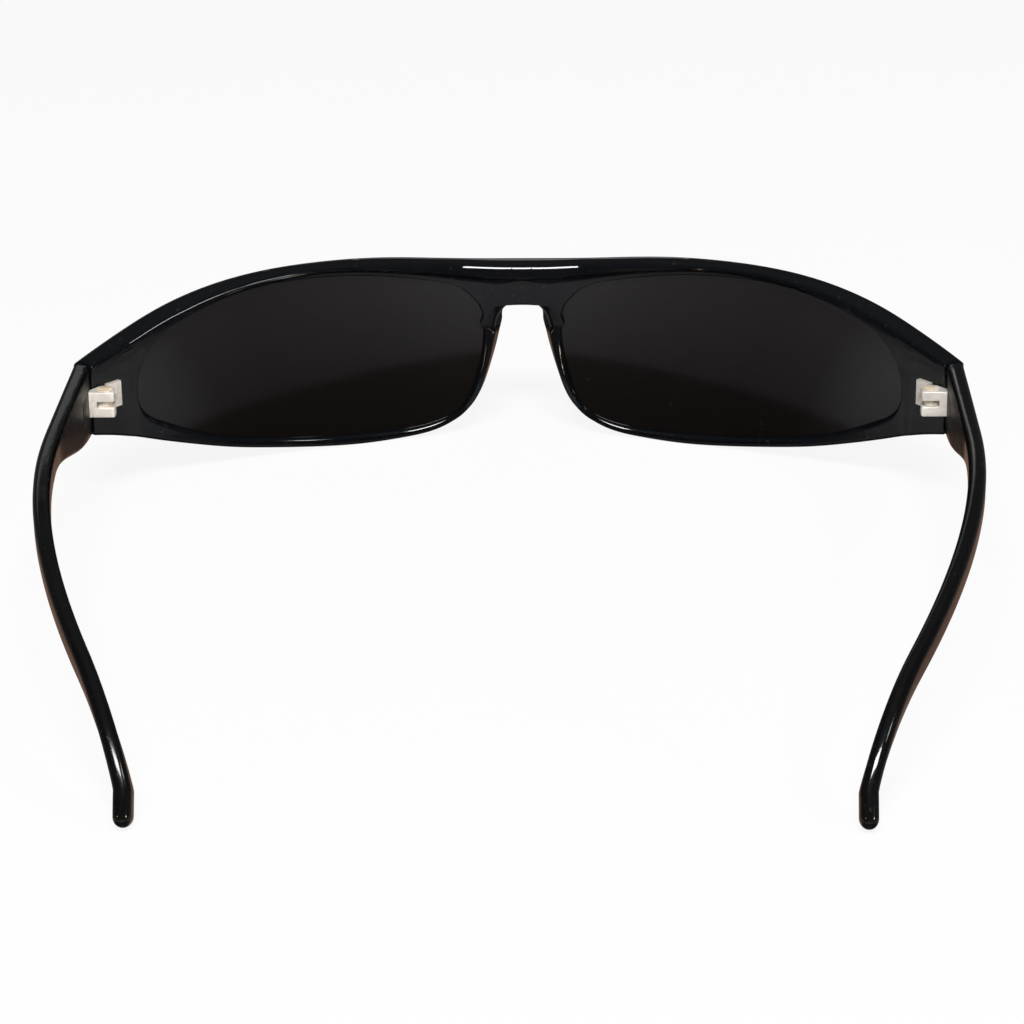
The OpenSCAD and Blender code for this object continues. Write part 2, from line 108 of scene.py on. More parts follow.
end_low = end_top - end_height

# The ball's middle, from the hinge's place and with the lowest edge of the rims on the table
ball_y = axis_right.y - (curve_radius - axis_depth) * math.cos(axis_way / curve_radius)
ball_z = -curve_radius * math.sin(rim_low / curve_radius)


def wrapped(place, depth):
    """A place on the ball: along it from the nose, up it, and level and straight back into it."""
    turn = place[0] / curve_radius
    lift = place[1] / curve_radius
    out = curve_radius * math.cos(lift) - depth
    up = curve_radius * math.sin(lift)
    return Vector((out * math.sin(turn), ball_y + out * math.cos(turn), ball_z + up))


def mix(a, b, share):
    """What lies that share of the way from a to b."""
    return a + (b - a) * share


def eased(share):
    """The share with a gentle start and stop, held between 0 and 1."""
    share = min(1.0, max(0.0, share))
    return share * share * (3 - 2 * share)


def sprung_line(points, count, first=0, last=None, closed=False):
    """Even places along the curve that a springy strip takes through the points."""
    points = np.array(points, float)
    if closed:
        points = np.vstack([points, points[:1]])
    gaps = np.linalg.norm(np.diff(points, axis=0), axis=1)
    way = np.concatenate([[0], np.cumsum(gaps)])
    size = len(points)
    slopes = np.diff(points, axis=0) / gaps[:, None]
    sums = np.zeros((size, size))
    ends = np.zeros_like(points)
    for k in range(1, size - 1):
        sums[k, k - 1:k + 2] = gaps[k - 1], 2 * (gaps[k - 1] + gaps[k]), gaps[k]
        ends[k] = 6 * (slopes[k] - slopes[k - 1])
    sums[0, 0] = 1
    sums[-1, -1] = 1
    if closed:
        sums[0, :2] = 2 * (gaps[-1] + gaps[0]), gaps[0]
        sums[0, -2] = gaps[-1]
        ends[0] = 6 * (slopes[0] - slopes[-1])
        sums[-1, 0] = -1
    bend = np.linalg.solve(sums, ends)
    last = size - 1 if last is None else last
    line = []
    for at in np.linspace(way[first], way[last], count):
        k = min(max(int(np.searchsorted(way, at, side="right")) - 1, 0), size - 2)
        before = at - way[k]
        after = way[k + 1] - at
        line.append((bend[k] * after ** 3 + bend[k + 1] * before ** 3) / (6 * gaps[k])
                    + (points[k] / gaps[k] - bend[k] * gaps[k] / 6) * after
                    + (points[k + 1] / gaps[k] - bend[k + 1] * gaps[k] / 6) * before)
    return np.array(line)


def unit(direction):
    return direction / np.linalg.norm(direction)


opening_places = 600
brow_places = 110
low_places = 170
end_places = 24
opening = sprung_line([lens_middle + np.array(p) * (lens_width, lens_height) for p in opening_shape],
                      opening_places, closed=True)

brow_points = [(p[0] * half_front, brow_peak - p[1] * brow_fall) for p in brow_shape]
brow_mirrored = [(-p[0], p[1]) for p in brow_points[3:0:-1]]
brow_line = sprung_line(brow_mirrored + brow_points, brow_places, first=len(brow_mirrored))
low_points = [(p[0] * half_front, mix(rim_low, end_low, p[1])) for p in low_shape]
low_points += [(p[0] * lens_gap / 2, mix(rim_low, notch_top, p[1])) for p in nose_shape]
low_points.append((0, notch_top))
low_mirrored = [(-p[0], p[1]) for p in low_points[-2:-5:-1]]
low_line = sprung_line(low_points + low_mirrored, low_places, last=len(low_points) - 1)


def rounded_corner(before, after, size, steps=5):
    """The two lines with the corner where they meet cut back and rounded."""
    corner = before[-1]
    before = [p for p in before if np.linalg.norm(p - corner) > size]
    after = [p for p in after if np.linalg.norm(p - corner) > size]
    start = corner + unit(before[-1] - corner) * size
    end = corner + unit(after[0] - corner) * size
    bend = [mix(mix(start, corner, t), mix(corner, end, t), t) for t in np.linspace(0, 1, steps)]
    return before + bend + after


corner_cut = 0.7 * mm
end_line = [np.array([half_front, mix(end_top, end_low, t)]) for t in np.linspace(0, 1, end_places)]
outline = rounded_corner(list(brow_line), end_line, corner_cut)
outline = rounded_corner(outline, list(low_line), corner_cut)

# How far down the back the brow ridge reaches and how deep it stands, as shares, by the share of the
# way from the nose to the end
ridge_tall = np.array([(0, 1), (0.182, 0.71), (0.424, 0.32), (0.667, 0.52), (0.8, 0.84),
                       (0.945, 0.42), (1.1, 0.26)])
ridge_deep = np.array([(0, 1), (0.2, 0.98), (0.44, 0.84), (0.73, 0.98), (0.87, 0.98),
                       (1, end_thickness / brow_depth), (1.1, end_thickness / brow_depth)])
ridge_blend = 0.45 * mm
table_blend = 0.06


def softened(table, at):
    """A value from a table, with the corners between its rows rounded off."""
    reach = np.linspace(-table_blend, table_blend, 9)
    return float(np.mean(np.interp(np.abs(at + reach), table[:, 0], table[:, 1])))


def ridge_foot(s):
    """Height on the flat where the brow ridge ends below."""
    brow = np.interp(s, brow_line[:, 0], brow_line[:, 1])
    return brow - ridge_height * softened(ridge_tall, s / half_front)


# The back edge of the brow is rounded off: part of the way to the end, how far down, how deep
brow_bend = np.array([(0, 2.6, 2.2), (0.12, 2.6, 2.2), (0.3, 1.2, 3.0), (0.424, 0.9, 3.0),
                      (0.6, 1.1, 3.0), (0.75, 1.8, 3.0), (0.9, 1.4, 2.4), (1, 0.6, 0.6)]) * (1, mm, mm)

# Up the middle of the bridge the rings stand closer together where the face bends
brow_middle = brow_line[0][1]
foot_middle = ridge_foot(0)
brow_down = brow_bend[0, 1]
above_notch = 1 * mm
below_foot = 0.8 * mm
below_brow = 0.08 * mm
bends = [(notch_top, notch_top + above_notch, 9),
         (foot_middle - below_foot, brow_middle - brow_down - below_brow, 14)]
brow_heights = brow_middle - brow_down * (1 - np.cos(np.linspace(math.pi / 2, 0, 7)))
bridge_heights = np.concatenate([np.linspace(*bend) for bend in bends] + [brow_heights])
bridge_line = [np.array([0.0, v]) for v in bridge_heights[1:]]

# The nose pad is a low swelling of the back face
pad_middle = np.array([lens_gap * 0.54, mix(rim_low, notch_top, 0.48)])
pad_size = np.array([5.5, 9]) * mm
end_blend = 4 * mm


def back_depth(place):
    """Depth of the back face, with the thick end, the ridge and the nose pad."""
    s, v = place
    plain = mix(rim_thickness, end_thickness, eased((s - lens_gap / 2 - lens_width) / end_blend))
    above = v - ridge_foot(s)
    ridge = max(plain, brow_depth * softened(ridge_deep, s / half_front) - ridge_lean * max(0, above))
    pad = eased(1 - np.linalg.norm((place - pad_middle) / pad_size))
    return mix(plain, ridge, eased((above + ridge_blend) / (2 * ridge_blend))) + pad_rise * pad


# Each ring points at a place on this line inside the opening, one that lies as far out as it does
pole_line = [np.array([lens_gap / 2 + 0.28 * lens_width, notch_top]),
             np.array([lens_gap / 2 + 0.76 * lens_width, mix(lens_middle[1], notch_top, 0.25)])]
least_turn = 1e-15


def opening_edge(place):
    """Where the line from the place that the ring points at crosses the edge of the opening."""
    share = (place[0] - pole_line[0][0]) / (pole_line[1][0] - pole_line[0][0])
    pole = mix(pole_line[0], pole_line[1], min(1.0, max(0.0, share)))
    aim = place - pole
    start = opening[:-1]
    side = opening[1:] - start
    turn = aim[0] * side[:, 1] - aim[1] * side[:, 0]
    turn[np.abs(turn) < least_turn] = least_turn
    away = start - pole
    far = (away[:, 0] * side[:, 1] - away[:, 1] * side[:, 0]) / turn
    along = (away[:, 0] * aim[1] - away[:, 1] * aim[0]) / turn
    return pole + aim * far[(along >= 0) & (along <= 1) & (far > 0)].max()


def near_line(place, line):
    """How far a place is from a line on the flat."""
    start = line[:-1]
    side = line[1:] - start
    share = np.clip(((place - start) * side).sum(1) / (side * side).sum(1), 0, 1)
    return np.linalg.norm(start + side * share[:, None] - place, axis=1).min()


def brow_curves(place):
    """How far down and how deep the brow's back edge is rounded off here."""
    share = abs(place[0]) / half_front
    return [float(np.interp(share, brow_bend[:, 0], brow_bend[:, k])) for k in (1, 2)]


def rounded_depths(place):
    """Least and greatest depth that the rounded edges of the brow and the lower line leave."""
    least = 0.0
    most = back_depth(place)
    for line, curve, up, (down, deep) in ((brow_line, front_round, 1, brow_curves(place)),
                                          (low_line, low_front_round, -1, (back_round, back_round))):
        away = near_line(place, line)
        if away < curve:
            least = max(least, curve - math.sqrt(curve ** 2 - (curve - away) ** 2))
        if away < down:
            rest = (down - away) / down
            foot = back_depth(place - np.array([0, up * (down - away)]))
            most = min(most, foot - deep * (1 - math.sqrt(1 - rest ** 2)))
    return least, most


# Where the foot of the ridge is this far off a ring, the ring's places are spread evenly
clear_rise = 3 * mm


def crossing_share(edge, place):
    """How far out on a ring the foot of the ridge lies, or near which end of the ring it lies."""
    rise = [p[1] - ridge_foot(p[0]) for p in (edge, place)]
    if rise[1] <= 0:
        return mix(1.0, 0.5, eased(-rise[1] / clear_rise))
    if rise[0] >= 0:
        return mix(0.0, 0.5, eased(rise[0] / clear_rise))
    low, high = 0.0, 1.0
    for _ in range(12):
        half = (low + high) / 2
        at = mix(edge, place, half)
        if at[1] < ridge_foot(at[0]):
            low = half
        else:
            high = half
    return low


# The nose wall leans out toward the front from a little below the top of the notch. The lip of the
# lens opening is broad below and narrow above. The spares are the least room between a ring's bends.
splay_below = 0.8 * mm
splay_growth = 2.2 * mm
crest_spare = 0.2 * mm
foot_spare = 0.15 * mm
lip_spare = 0.1 * mm


def rim_ring(place, outward, front_curve, back_curve, back_deep, cut=False):
    """One ring of the front: over its front face, round the outside, along the back, and through
    the groove. The same count of places on each, so the rings can be joined."""
    edge = opening_edge(place)
    width = np.linalg.norm(place - edge)
    across = (place - edge) / width
    near = edge + across * lip_round
    grown = eased((notch_top - place[1] - splay_below) / splay_growth)
    splay = nose_splay * max(0, -outward[0]) * grown
    face = place + outward * splay
    quarter = np.linspace(0, math.pi / 2, 7)
    ring = []
    for t in np.linspace(0, math.pi / 2, 4):
        ring.append((edge + across * lip_round * (1 - math.cos(t)), lip_round * (1 - math.sin(t))))
    for share in (0.25, 0.5, 0.75):
        ring.append((mix(near, face - outward * front_curve, share), 0.0))
    for t in quarter:
        ring.append((face - outward * front_curve * (1 - math.sin(t)), front_curve * (1 - math.cos(t))))
    back = back_depth(place - outward * back_curve)
    ring.append((mix(face, place, 0.5), mix(front_curve, back - back_deep, 0.5)))
    for t in quarter:
        ring.append((place - outward * back_curve * (1 - math.cos(t)),
                     back - back_deep * (1 - math.sin(t))))
    lip = mix(lip_below, lip_round, eased((across[1] + 0.5) / 0.8))
    crossing = crossing_share(edge, place) * width
    crest = min(width - back_curve - crest_spare, crossing + ridge_blend)
    foot = min(max(lip + lip_spare, crossing - ridge_blend), crest - foot_spare)
    last = place - outward * back_curve
    for share in (0.25, 0.5, 0.75):
        ring.append((mix(last, edge + across * crest, share), None))
    for share in np.linspace(0, 1, 7):
        ring.append((edge + across * mix(crest, foot, share), None))
    for share in (0.33, 0.66):
        ring.append((edge + across * mix(foot, lip, share), None))
    low = back_depth(edge + across * lip)
    lip_deep = min(lip, low - groove_back - lip_spare)
    for t in quarter:
        ring.append((edge + across * lip * (1 - math.sin(t)), low - lip_deep * (1 - math.cos(t))))
    if cut:
        for k, (p, depth) in enumerate(ring):
            least, most = rounded_depths(p)
            ring[k] = (p, min(max(most if depth is None else depth, least), most))
    for out, depth in ((0, groove_back), (1, groove_back), (1, groove_front), (0, groove_front)):
        ring.append((edge + across * groove_depth * out, depth))
    return [wrapped(p, back_depth(p) if depth is None else depth) for p, depth in ring]


def bare_select():
    if bpy.context.object and bpy.context.object.mode != "OBJECT":
        bpy.ops.object.mode_set(mode="OBJECT")
    bpy.ops.object.select_all(action="DESELECT")


def lofted(name, rings):
    """Draws the first ring as a circle, then extrudes its edge from ring to ring."""
    bare_select()
    bpy.ops.mesh.primitive_circle_add(vertices=len(rings[0]), radius=curve_radius)
    piece = bpy.context.object
    piece.name = name
    piece.data.name = name
    bpy.ops.object.mode_set(mode="EDIT")
    mesh = bmesh.from_edit_mesh(piece.data)
    turn = mesh.verts.layers.int.new("turn")
    for k, vert in enumerate(mesh.verts):
        vert[turn] = k
        vert.co = rings[0][k]
    for ring in rings[1:]:
        bmesh.update_edit_mesh(piece.data)
        bpy.ops.mesh.extrude_region_move()
        mesh = bmesh.from_edit_mesh(piece.data)
        turn = mesh.verts.layers.int["turn"]
        for vert in mesh.verts:
            if vert.select:
                vert.co = ring[vert[turn]]
    bmesh.update_edit_mesh(piece.data)
    return piece


smooth_angle = math.radians(38)
join_reach = 1e-6


def closed_up(piece, reach=join_reach):
    """Joins the seams, turns the faces outward and shades the piece, leaving edit mode."""
    bpy.ops.mesh.select_all(action="SELECT")
    bpy.ops.mesh.remove_doubles(threshold=reach)
    bpy.ops.mesh.normals_make_consistent(inside=False)
    bpy.ops.object.mode_set(mode="OBJECT")
    bpy.ops.object.shade_smooth_by_angle(angle=smooth_angle)
    piece.data.attributes.remove(piece.data.attributes["turn"])


# Rings from the middle of the brow round the end and back to the top of the notch, then up the
# middle of the bridge, where they have no edges of their own to round
no_round = 1e-7
rings = []
across_middle = np.array([-1, 1])
whole = [outline[1] * across_middle] + outline + [outline[-2] * across_middle]
for k, place in enumerate(outline):
    ahead = unit(whole[k + 2] - whole[k])
    outward = np.array([-ahead[1], ahead[0]])
    at_end = place[0] > half_front - corner_cut and outward[0] > 0.5
    above = place[1] > (end_top + end_low) / 2
    along = front_round if above else low_front_round
    down, deep = brow_curves(place) if above else (back_round, back_round)
    if at_end:
        rings.append(rim_ring(place, outward, end_round, end_round, end_round, cut=True))
    else:
        rings.append(rim_ring(place, outward, along, down, deep))
for place in bridge_line:
    rings.append(rim_ring(place, np.array([0.0, -1.0]), no_round, no_round, no_round, cut=True))
rings.append(rings[0])
front = lofted("front_moulding", rings)

# The faces in the middle plane go, and the left half is the mirror image
mesh = bmesh.from_edit_mesh(front.data)
for vert in mesh.verts:
    if abs(vert.co.x) < 2 * no_round:
        vert.co.x = 0
    vert.select = False
for face in mesh.faces:
    face.select = all(vert.co.x == 0 for vert in face.verts)
bmesh.update_edit_mesh(front.data)
bpy.ops.mesh.delete(type="FACE")
closed_up(front)
mirrored = front.modifiers.new("left_half", "MIRROR")
mirrored.merge_threshold = join_reach
bpy.ops.object.modifier_apply(modifier=mirrored.name)
bpy.ops.object.shade_smooth_by_angle(angle=smooth_angle)
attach(front, "front")
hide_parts("front_frame")


class Value:
    """A socket that sums can be written with."""

    def __init__(self, finish, socket):
        self.finish = finish
        self.socket = socket

    def sum(self, operation, first, second):
        return self.finish.add("ShaderNodeMath", {"operation": operation}, {0: first, 1: second})

    def __add__(self, other):
        return self.sum("ADD", self, other)

    __radd__ = __add__

    def __mul__(self, other):
        return self.sum("MULTIPLY", self, other)

    __rmul__ = __mul__

    def __sub__(self, other):
        return self.sum("SUBTRACT", self, other)

    def __rsub__(self, other):
        return self.sum("SUBTRACT", other, self)


class Finish:
    """A material or world being mixed. add() puts in one node with its settings and what feeds it."""

    def __init__(self, name, kind=bpy.data.materials):
        self.material = kind.new(name)
        self.material.use_nodes = True
        self.tree = self.material.node_tree
        self.tree.nodes.clear()

    def add(self, kind, settings=None, inputs=None, output=0):
        node = self.tree.nodes.new(kind)
        for name, value in (settings or {}).items():
            if name == "stops":
                while len(node.color_ramp.elements) < len(value):
                    node.color_ramp.elements.new(0.5)
                for element, (position, colour) in zip(node.color_ramp.elements, value):
                    element.position = position
                    colour = colour if isinstance(colour, tuple) else (colour,) * 3
                    element.color = (*colour, 1)
            else:
                setattr(node, name, value)
        for name, value in (inputs or {}).items():
            if isinstance(value, Value):
                self.tree.links.new(value.socket, node.inputs[name])
            else:
                node.inputs[name].default_value = value
        return Value(self, node.outputs[output]) if node.outputs else None

    def noise(self, place, scale, detail=2.0, roughness=0.5):
        return self.add("ShaderNodeTexNoise", {},
                        {"Vector": place, "Scale": scale, "Detail": detail, "Roughness": roughness})

    def ramp(self, value, stops):
        return self.add("ShaderNodeValToRGB", {"stops": stops}, {"Fac": value})

    def mixed(self, share, first, second, blend="MIX"):
        """The first colour turned into the second by the share, or blended with it another way."""
        first, second = [(*c, 1) if isinstance(c, tuple) else c for c in (first, second)]
        return self.add("ShaderNodeMix", {"data_type": "RGBA", "blend_type": blend},
                        {0: share, 6: first, 7: second}, 2)

    def axes(self, place):
        """How far across, along and up a place lies."""
        return [self.add("ShaderNodeSeparateXYZ", {}, {0: place}, k) for k in range(3)]

    def unsigned(self, value):
        return self.add("ShaderNodeMath", {"operation": "ABSOLUTE"}, {0: value})

    def done(self, shader, piece):
        self.add("ShaderNodeOutputMaterial", {}, {"Surface": shader})
        piece.data.materials.clear()
        piece.data.materials.append(self.material)


def moulded_black(name, piece, base, dull, matt_from=None):
    """Glossy black plastic: wiped smears, a few scuffs and the slight waves of a moulded skin. The
    face round the hinge, inside, ahead of and above the given corner, is matt."""
    paint = Finish(name)
    place = paint.add("ShaderNodeTexCoord", output=3)
    smears = paint.noise(place, 70, 4, 0.6)
    grit = paint.ramp(paint.noise(place, 1400, 2, 0.6), [(0.66, 0.0), (0.72, 1.0)])
    patches = paint.ramp(paint.noise(place, 160, 3, 0.6), [(0.45, 0.0), (0.7, 1.0)])
    dark = tuple(c * 0.75 for c in base)
    light = tuple(c * 1.3 for c in base)
    dust = (0.05, 0.047, 0.043)
    dusty = paint.mixed(grit * 0.25, paint.mixed(smears, dark, light), dust)
    matt = 0.0
    if matt_from is not None:
        across, along, high = paint.axes(place)
        fade = [(0.0, 0.0), (1.0, 1.0)]
        inside = paint.ramp((matt_from.x - paint.unsigned(across)) * 5000, fade)
        ahead = paint.ramp((along - matt_from.y) * 200, fade)
        above = paint.ramp((high - matt_from.z) * 700, fade)
        matt = inside * ahead * above
    rough = dull + 0.10 * patches + 0.12 * smears * grit + 0.35 * matt
    waves = paint.noise(place, 230, 2, 0.5)
    skin = paint.noise(place, 900, 3, 0.5)
    bump = paint.add("ShaderNodeBump", {},
                     {"Strength": 0.35, "Distance": 0.06 * mm, "Height": waves + 0.12 * skin})
    shader = paint.add("ShaderNodeBsdfPrincipled", {},
                       {"Base Color": dusty, "Roughness": rough, "Normal": bump, "IOR": 1.45})
    paint.done(shader, piece)


moulded_black("front_black", front, (0.0028, 0.0034, 0.0046), 0.07)

# Lenses: smoke-tinted plates of hard plastic, 1.8 mm thick, cut from blanks on the same ball and
# sprung into the groove all round. Their edges are hidden in the rim, with a small bevel.
lens_play = 0.06 * mm
lens_thickness = 1.8 * mm
lens_bevel = 0.15 * mm
lens_front = groove_front + lens_play
lens_rings = 15
lens_places = range(0, opening_places, 3)


def lens_ring(share, depth, inset=0.0):
    """A ring of the lens at a depth, the share of the way from its middle to its edge."""
    ring = []
    for k in lens_places:
        ahead = unit(opening[(k + 1) % opening_places] - opening[k - 1])
        outward = np.array([ahead[1], -ahead[0]])
        if np.dot(outward, opening[k] - lens_middle) < 0:
            outward = -outward
        edge = opening[k] + outward * (groove_depth - lens_play - inset)
        ring.append(wrapped(mix(lens_middle, edge, share), depth))
    return ring


steps = np.linspace(0, 1, lens_rings)
skins = [lens_ring(share, lens_front, lens_bevel) for share in steps]
skins += [lens_ring(1, lens_front + lens_bevel), lens_ring(1, lens_front + lens_thickness - lens_bevel)]
skins += [lens_ring(share, lens_front + lens_thickness, lens_bevel) for share in steps[::-1]]
lens_right = lofted("smoke_lens_right", skins)
closed_up(lens_right)


def mirrored_copy(piece, name):
    """The same piece for the other side, with its own mesh and its faces outward again."""
    bare_select()
    other = piece.copy()
    other.data = piece.data.copy()
    other.name = name
    other.data.name = name
    bpy.context.collection.objects.link(other)
    other.select_set(True)
    bpy.context.view_layer.objects.active = other
    bpy.ops.object.mode_set(mode="EDIT")
    bpy.ops.mesh.select_all(action="SELECT")
    bpy.ops.transform.mirror(constraint_axis=(True, False, False), center_override=(0, 0, 0))
    bpy.ops.mesh.normals_make_consistent(inside=False)
    bpy.ops.object.mode_set(mode="OBJECT")
    bpy.ops.object.shade_smooth_by_angle(angle=smooth_angle)
    return other


# Hard smoke-tinted plastic, with a haze that comes and goes, finger marks and specks of dust
smoke = Finish("lens_smoke")
lens_place = smoke.add("ShaderNodeTexCoord", output=3)
fog = smoke.noise(lens_place, 28, 3, 0.55)
prints = smoke.ramp(smoke.noise(lens_place, 110, 4, 0.65), [(0.48, 0.0), (0.75, 1.0)])
specks = smoke.ramp(smoke.noise(lens_place, 1100, 1, 0.5), [(0.75, 0.0), (0.79, 1.0)])
dark_smoke = (0.0020, 0.0015, 0.0017)
light_smoke = (0.0036, 0.0028, 0.0030)
lens_dust = (0.10, 0.095, 0.09)
dusty_tint = smoke.mixed(specks * 0.1, smoke.mixed(fog, dark_smoke, light_smoke), lens_dust)
lens_rough = 0.05 + 0.10 * prints * fog + 0.1 * specks
lens_shader = smoke.add("ShaderNodeBsdfPrincipled", {},
                        {"Base Color": dusty_tint, "Roughness": lens_rough, "IOR": 1.60})
smoke.done(lens_shader, lens_right)
lens_left = mirrored_copy(lens_right, "smoke_lens_left")
for lens, node in ((lens_right, "lens_right"), (lens_left, "lens_left")):
    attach(lens, "front")
    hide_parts(node)

# Hinge leaves: pressed from steel and nickel-plated to a satin finish. The temple leaf is a plate in
# a pocket of the temple with a slotted block on it, whose two lugs hold the screw. The front leaf is
# a plate on the front's back face, and its one lug turns in the slot.
stamped_join = 2e-6
leaf_edge = 0.12 * mm
plate_bare = 1.9 * mm


def finished_steel(node, name, body, edge):
    """A merged copy of the stamped shape with its edges broken, as tumbling leaves them."""
    bare_select()
    source = frame["nodes"][node]
    piece = source.copy()
    piece.data = source.data.copy()
    piece.name = name
    piece.data.name = name
    piece.parent = None
    bpy.context.collection.objects.link(piece)
    piece.matrix_world = Matrix.Identity(4)
    piece.select_set(True)
    bpy.context.view_layer.objects.active = piece
    bpy.ops.object.mode_set(mode="EDIT")
    bpy.ops.mesh.select_all(action="SELECT")
    bpy.ops.mesh.remove_doubles(threshold=stamped_join)
    bpy.ops.mesh.dissolve_limited(angle_limit=math.radians(1))
    bpy.ops.mesh.normals_make_consistent(inside=False)
    bpy.ops.object.mode_set(mode="OBJECT")
    broken = piece.modifiers.new("broken_edges", "BEVEL")
    broken.width = edge
    broken.segments = 2
    broken.limit_method = "ANGLE"
    broken.angle_limit = math.radians(40)
    bpy.ops.object.modifier_apply(modifier=broken.name)
    bpy.ops.object.shade_smooth_by_angle(angle=math.radians(35))
    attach(piece, body)
    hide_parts(node)
    return piece


def plated_steel(name, piece, bright, dull, rough, metal=0.35, black_behind=None):
    """Satin nickel: brushed along the strip, cloudy where it was handled, browned in spots. Behind
    the given place the plate is blackened, as the temple is."""
    plate = Finish(name)
    place = plate.add("ShaderNodeTexCoord", output=3)
    drawn = plate.add("ShaderNodeMapping", {}, {"Vector": place, "Scale": (1.0, 1.0, 9.0)})
    brushed = plate.noise(drawn, 900, 3, 0.6)
    clouds = plate.noise(place, 420, 3, 0.6)
    marks = plate.ramp(plate.noise(place, 1500, 2, 0.5), [(0.60, 0.0), (0.72, 1.0)])
    worn = plate.ramp(clouds, [(0.40, 0.0), (0.62, 1.0)])
    brown_stain = (0.55, 0.43, 0.29)
    blacking = (0.010, 0.009, 0.008)
    stained = plate.mixed(marks * 0.35, plate.mixed(worn, dull, bright), brown_stain)
    bump = plate.add("ShaderNodeBump", {}, {"Strength": 0.3, "Distance": 0.03 * mm, "Height": brushed})
    bare = 1.0
    if black_behind is not None:
        along = plate.axes(place)[1]
        bare = plate.ramp((along - black_behind) * 4000 + 0.6 * worn, [(0.3, 0.0), (0.5, 1.0)])
    covered = plate.mixed(bare, blacking, stained)
    shader = plate.add("ShaderNodeBsdfPrincipled", {},
                       {"Base Color": covered, "Metallic": metal * bare, "Normal": bump,
                        "Roughness": rough + 0.14 * brushed + 0.12 * (1 - worn)})
    plate.done(shader, piece)


for side in ("left", "right"):
    leaf = finished_steel(f"front_leaf_{side}", f"front_hinge_leaf_{side}", "front",
                          leaf_edge)
    plated_steel(f"front_nickel_{side}", leaf, (0.90, 0.86, 0.80), (0.72, 0.66, 0.58), 0.26)
    arm_leaf = finished_steel(f"temple_leaf_{side}", f"temple_hinge_leaf_{side}",
                              f"temple_{side}", leaf_edge)
    plated_steel(f"temple_nickel_{side}", arm_leaf, (0.97, 0.94, 0.88), (0.86, 0.81, 0.73), 0.26,
                 black_behind=axis_right.y - plate_bare)

# Hinge screws: turned from brass with a slotted head, sunk in the upper lug and done up until the
# temple stays where it is put.
screw_edge = 0.06 * mm
for side in ("left", "right"):
    screw = finished_steel(f"hinge_screw_{side}", f"slotted_screw_{side}", f"temple_{side}",
                           screw_edge)
    plated_steel(f"screw_brass_{side}", screw, (1.0, 0.93, 0.78), (0.90, 0.74, 0.50), 0.20, metal=0.15)

# Temples: the same black plastic, one moulding each. A tall flat root meets the front at a slanting
# seam, the arm grows slender, then sweeps in and down behind the ear to a blunt tip.
temple_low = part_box("temple_right")[0]
temple_thickness = 2.7 * mm
temple_height = 4.4 * mm
tip_thickness = 2.5 * mm
tip_height = temple_height + 0.2 * mm
sweep_radius = 169 * mm
sweep_start = 29 * mm
seam_gap = 0.3 * mm
seam_edge = 0.3 * mm
root_round = 1.3 * mm
tip_straight = 3.5 * mm
tip_round = 1.5 * mm
temple_length = 116 * mm
path_length = temple_length * 1.052
temple_inset = 0.55 * mm
root_corner = 0.95 * mm
arm_corner_share = 0.9

# Where the arm's form changes, as shares of the way along it
turned_by = 0.034
slender_by = 0.325
thin_from = 0.1
thin_over = 0.7
rounder_from = 0.03
rounder_over = 0.4
tip_from = 0.8
tip_over = 0.15
slope_ways = [0, 0.31, 0.80, 0.97, 1]
slope_angles = np.radians([0, 0, 12, 62, 66])

seam_angle = half_front / curve_radius
outer_x = wrapped((half_front, 0), temple_inset).x
middle_x = outer_x - temple_thickness / 2
seam_middle = wrapped((half_front, 0), end_thickness / 2)
start_y = seam_middle.y - (seam_middle.x - middle_x) / math.tan(seam_angle)
start_y -= seam_gap / math.sin(seam_angle)
top_z = wrapped((half_front, end_top), 0).z
root_height = top_z - wrapped((half_front, end_low), 0).z
seam_side = Vector((math.sin(seam_angle), math.cos(seam_angle), 0))

# The arm's course from its slope, in small steps, with the corners of the slope rounded off
fine_steps = 800
slope_blend = 20
fine = np.linspace(0, 1, fine_steps + 1)
fine_middle = (fine[1:] + fine[:-1]) / 2
fine_slope = np.pad(np.interp(fine_middle, slope_ways, slope_angles), slope_blend, mode="edge")
blend_share = np.ones(2 * slope_blend + 1) / (2 * slope_blend + 1)
fine_slope = np.convolve(fine_slope, blend_share, mode="valid")
fine_back = np.concatenate([[0], np.cumsum(np.cos(fine_slope))]) / fine_steps
fine_down = np.concatenate([[0], np.cumsum(np.sin(fine_slope))]) / fine_steps


def slope_at(way):
    return float(np.interp(way, fine_middle, fine_slope))


def half_tall(way):
    slender = mix(root_height, temple_height, eased(way / slender_by))
    return mix(slender, tip_height, eased((way - tip_from) / tip_over)) / 2


def half_thick(way):
    return mix(temple_thickness, tip_thickness, eased((way - thin_from) / thin_over)) / 2


def side_way(way):
    """Which way the section's thickness runs: along the seam at the root, soon straight across."""
    return seam_side.lerp(Vector((1, 0, 0)), eased(way / turned_by)).normalized()


